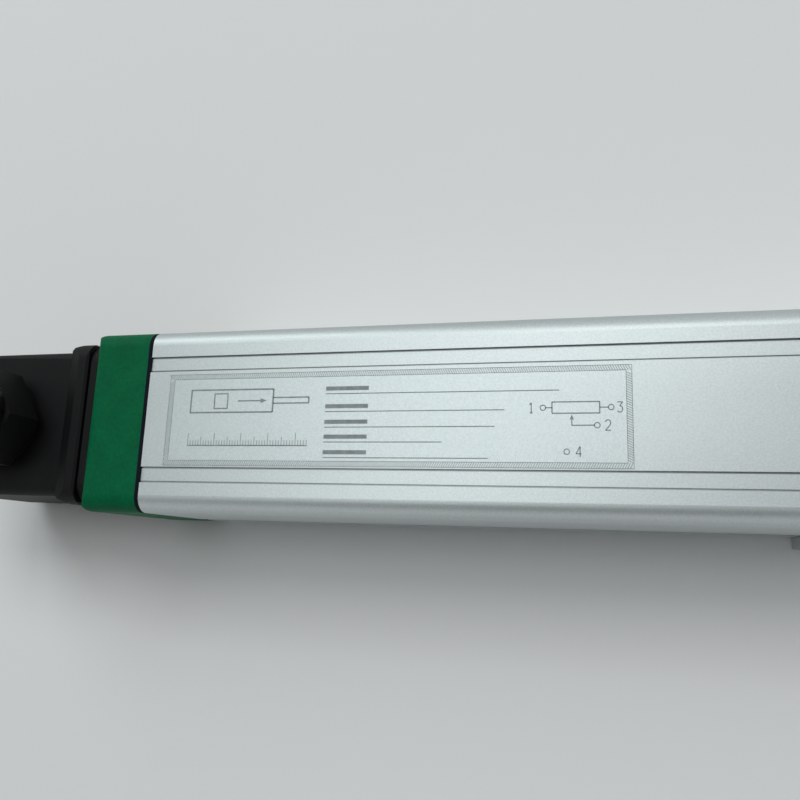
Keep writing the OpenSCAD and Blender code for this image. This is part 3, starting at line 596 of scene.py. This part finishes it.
def circuit_symbol(mesh):
    """The plain symbol of a potentiometer with its numbered ends."""
    x, y = SYMBOL_X, SYMBOL_Y
    ink_path(mesh, [(x, y - 0.9), (x + 7.2, y - 0.9), (x + 7.2, y + 0.9), (x, y + 0.9)], 0.2, closed=True)
    ink_line(mesh, (x - 1.0, y), (x, y), 0.18)
    ink_line(mesh, (x + 7.2, y), (x + 8.5, y), 0.18)
    for ring_x in (x - 1.4, x + 8.9):
        ink_ring(mesh, (ring_x, y), 0.42, 0.16)
    ink_arrow(mesh, (x + 3.0, y - 2.8), (x + 3.0, y - 1.1), 0.18, 0.8)
    ink_line(mesh, (x + 3.0, y - 2.8), (x + 6.4, y - 2.8), 0.18)
    ink_ring(mesh, (x + 6.8, y - 2.8), 0.42, 0.16)
    ink_ring(mesh, (x + 2.2, y - 6.9), 0.42, 0.16)
    ink_figure(mesh, "1", x - 3.6, y - 0.8, 1.6)
    ink_figure(mesh, "3", x + 9.8, y - 0.8, 1.6)
    ink_figure(mesh, "2", x + 8.0, y - 3.6, 1.6)
    ink_figure(mesh, "4", x + 3.6, y - 7.7, 1.6)


def build_label():
    foil, ink = label_materials()
    film = bmesh.new()
    half = LABEL_WIDTH / 2
    plate(film, [(0, -half), (LABEL_LENGTH, -half), (LABEL_LENGTH, half), (0, half)], 0.0, FOIL_THICKNESS)
    film_mesh = bpy.data.meshes.new("label_film")
    film.to_mesh(film_mesh)
    add_piece("label_film", film_mesh, "case", foil)
    printed = bmesh.new()
    hatched_band(printed)
    sensor_pictogram(printed)
    blank_lines(printed)
    circuit_symbol(printed)
    print_mesh = bpy.data.meshes.new("label_print")
    printed.to_mesh(print_mesh)
    add_piece("label_print", print_mesh, "case", ink)


build_label()


# Floor and light

FLOOR_RADIUS = 3.0
WALL_ROUNDING = 1.0
WALL_HEIGHT = 3.2
FLOOR_SIDES = 96
FLOOR_COLOR = (0.9, 0.9, 0.9)
FLOOR_DROP = 0.0002
FAR_GLOW = 0.6
GLOW_REACH = 2.0
WORLD_LEVEL = 0.09
LAMP_TARGET = (-0.17, 0.0, 0.03)
LAMP_DISTANCE = 1.8


def floor_material():
    """Pale and matt. Far from the object, where the lamps don't reach, it shows itself pale."""
    material, tree, shader = new_material("studio_floor", FLOOR_COLOR, 0.9, specular=0.1)
    ramp_colors(tree, noise(tree, 2.0), shader, scaled(FLOOR_COLOR, 0.995), FLOOR_COLOR)
    place = tree.nodes.new("ShaderNodeTexCoord")
    length = tree.nodes.new("ShaderNodeVectorMath")
    length.operation = "LENGTH"
    tree.links.new(place.outputs["Object"], length.inputs[0])

    def math_node(operation, first, second):
        node = tree.nodes.new("ShaderNodeMath")
        node.operation = operation
        for socket, value in zip(node.inputs, (first, second)):
            if isinstance(value, float):
                socket.default_value = value
            else:
                tree.links.new(value, socket)
        return node.outputs[0]

    share = math_node("DIVIDE", length.outputs["Value"], GLOW_REACH)
    near = math_node("DIVIDE", 1.0, math_node("ADD", math_node("POWER", share, 3.0), 1.0))
    far = math_node("SUBTRACT", 1.0, math_node("MULTIPLY", near, near))
    ray = tree.nodes.new("ShaderNodeLightPath")
    seen = math_node("MAXIMUM", ray.outputs["Is Camera Ray"],
                     math_node("MAXIMUM", ray.outputs["Is Glossy Ray"],
                               ray.outputs["Is Transmission Ray"]))
    glow = math_node("MULTIPLY", math_node("MULTIPLY", far, FAR_GLOW), seen)
    shader.inputs["Emission Color"].default_value = (0.97, 1.0, 1.0, 1.0)
    tree.links.new(glow, shader.inputs["Emission Strength"])
    material.cycles.emission_sampling = "NONE"
    return material


def build_floor():
    """A round floor that curves up into a backdrop."""
    profile = [(0.02, 0.0), (0.5, 0.0), (1.2, 0.0), (2.0, 0.0), (FLOOR_RADIUS, 0.0)]
    for step in range(1, 13):
        angle = math.pi / 2 * step / 12
        profile.append((FLOOR_RADIUS + WALL_ROUNDING * math.sin(angle),
                        WALL_ROUNDING * (1 - math.cos(angle))))
    profile.append((FLOOR_RADIUS + WALL_ROUNDING, WALL_HEIGHT))
    verts, faces = [], []
    for radius, height in profile:
        for k in range(FLOOR_SIDES):
            turn = 2 * math.pi * k / FLOOR_SIDES
            verts.append((radius * math.cos(turn), radius * math.sin(turn), height - FLOOR_DROP))
    faces.append(tuple(range(FLOOR_SIDES)))
    for i in range(len(profile) - 1):
        for k in range(FLOOR_SIDES):
            a = i * FLOOR_SIDES + k
            b = i * FLOOR_SIDES + (k + 1) % FLOOR_SIDES
            faces.append((a, a + FLOOR_SIDES, b + FLOOR_SIDES, b))
    mesh_data = mesh_from("studio_floor", verts, faces)
    mesh_data.materials.append(floor_material())
    mesh_data.shade_smooth()
    floor = bpy.data.objects.new("studio_floor", mesh_data)
    bpy.context.scene.collection.objects.link(floor)


def build_world():
    world = bpy.data.worlds.new("studio_world")
    bpy.context.scene.world = world
    world.use_nodes = True
    background = world.node_tree.nodes["Background"]
    background.inputs["Color"].default_value = (1.0, 1.0, 1.0, 1.0)
    background.inputs["Strength"].default_value = WORLD_LEVEL


def add_lamp(name, direction, size, power, color):
    """A square soft lamp, at LAMP_DISTANCE from LAMP_TARGET and turned to it."""
    data = bpy.data.lights.new(name, "AREA")
    data.shape = "SQUARE"
    data.size = size
    data.energy = power
    data.color = color
    lamp = bpy.data.objects.new(name, data)
    way = Vector(direction).normalized()
    lamp.location = Vector(LAMP_TARGET) + way * LAMP_DISTANCE
    lamp.visible_camera = False
    lamp.rotation_mode = "QUATERNION"
    lamp.rotation_quaternion = way.to_track_quat("Z", "Y")
    bpy.context.scene.collection.objects.link(lamp)


build_floor()
build_world()
add_lamp("top_lamp", (-0.22, 0.10, 0.97), 0.7, 6.3, (0.95, 1.0, 1.0))
add_lamp("left_lamp", (-0.45, 0.65, 0.61), 0.75, 5.9, (0.93, 1.0, 1.0))
add_lamp("back_lamp", (0.08, 0.48, 0.87), 0.7, 7.9, (0.97, 1.0, 1.0))
add_lamp("right_lamp", (0.70, 0.25, 0.67), 0.7, 3.2, (1.0, 0.94, 0.96))

bpy.context.scene.view_settings.view_transform = "Standard"
